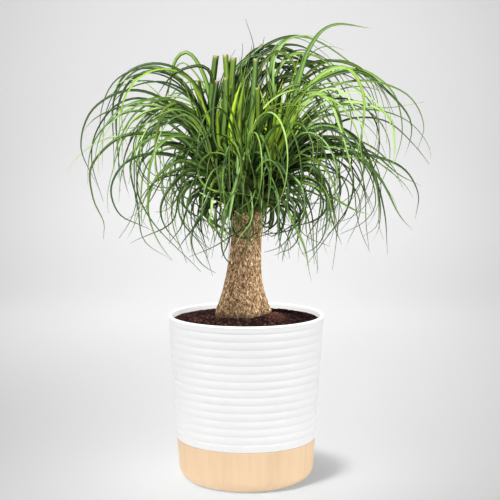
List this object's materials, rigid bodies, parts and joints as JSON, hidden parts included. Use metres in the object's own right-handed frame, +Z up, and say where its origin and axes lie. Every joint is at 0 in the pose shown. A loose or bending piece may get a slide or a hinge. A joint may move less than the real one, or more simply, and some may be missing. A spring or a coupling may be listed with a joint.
{
  "type": "potted ponytail palm",
  "caption": "Ponytail palm with a swollen woody foot and a round crown of long arching leaves, in a ribbed white ceramic planter on a shallow turned wooden base.",
  "frame": {"origin": "centre of the wooden base's underside, on the floor", "axes": "+Z up along the planter's axis, -Y the front as pictured, +X to the right of it"},
  "size_m": [0.368, 0.3215, 0.4722],
  "materials": {
    "base_wood": "satin",
    "planter_glaze": "satin",
    "potting_soil": "matte",
    "bark": "matte",
    "leaf": "satin"
  },
  "bodies": {
    "root": {"wooden_base": "base_wood", "planter": "planter_glaze", "soil": "potting_soil", "trunk": "bark", "shoot_front": "leaf", "shoot_front_right": "leaf", "shoot_back_right": "leaf", "shoot_back": "leaf", "shoot_back_left": "leaf", "shoot_front_left": "leaf"}
  },
  "joints": []
}
